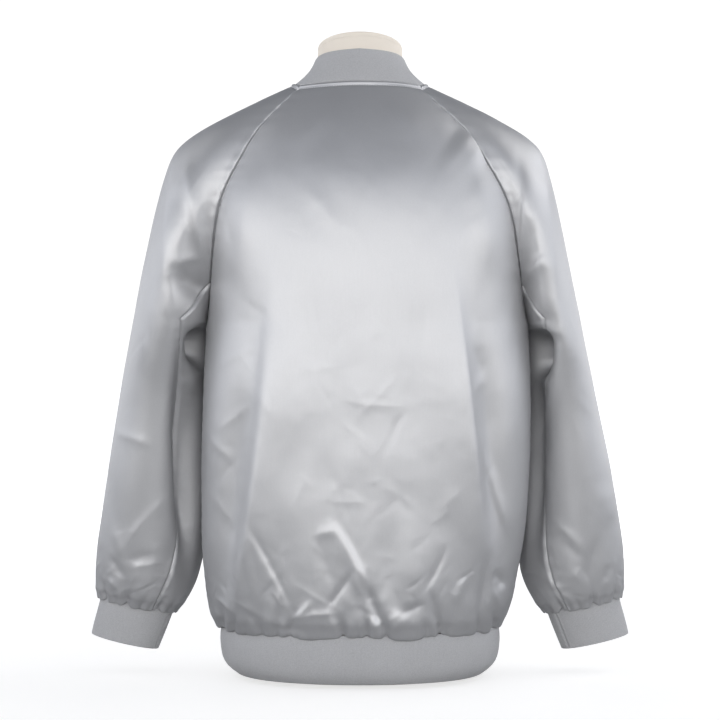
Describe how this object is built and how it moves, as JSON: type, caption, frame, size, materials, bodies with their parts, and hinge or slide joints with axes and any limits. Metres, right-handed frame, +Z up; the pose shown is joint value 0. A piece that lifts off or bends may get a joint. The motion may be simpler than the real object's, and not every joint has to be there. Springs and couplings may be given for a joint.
{
  "type": "satin bomber jacket on a dress form",
  "caption": "Zipped raglan-sleeve satin bomber jacket with rib collar, cuffs and hem band, worn on a limbless countertop dress form that it stands on.",
  "frame": {"origin": "on the ground at the middle of the bounding box; the dress form's flat base stands on it", "axes": "+X the wearer's right, +Y out of the jacket's zipped front, +Z up; the pictured back faces -Y"},
  "size_m": [0.6698, 0.2963, 0.7856],
  "materials": {
    "satin": "silver-grey satin with a soft sheen",
    "rib": "matte grey fine rib knit",
    "zip_tape": "matte grey woven tape",
    "zip_metal": "nickel-plated",
    "form_cover": "cream cotton jersey cover",
    "form_cap": "cream cotton cover over the neck plate"
  },
  "bodies": {
    "jacket_on_form": {"back": "satin", "front_left": "satin", "front_right": "satin", "sleeve_upper_left": "satin", "sleeve_upper_right": "satin", "sleeve_under_left": "satin", "sleeve_under_right": "satin", "collar": "rib", "cuff_left": "rib", "cuff_right": "rib", "hem_band": "rib", "zip_tape_left": "zip_tape", "zip_tape_right": "zip_tape", "zip_chain": "zip_metal", "zip_slider": "zip_metal", "form_torso": "form_cover", "form_neck_cap": "form_cap"},
    "pull_tab": {"zip_pull": "zip_metal"}
  },
  "joints": [
    {"name": "pull_tab_hinge", "type": "hinge", "parent": "jacket_on_form", "child": "pull_tab", "pos_m": [0, 0.09721, 0.635], "axis": [1, 0, 0], "range_deg": [0, 150]}
  ]
}
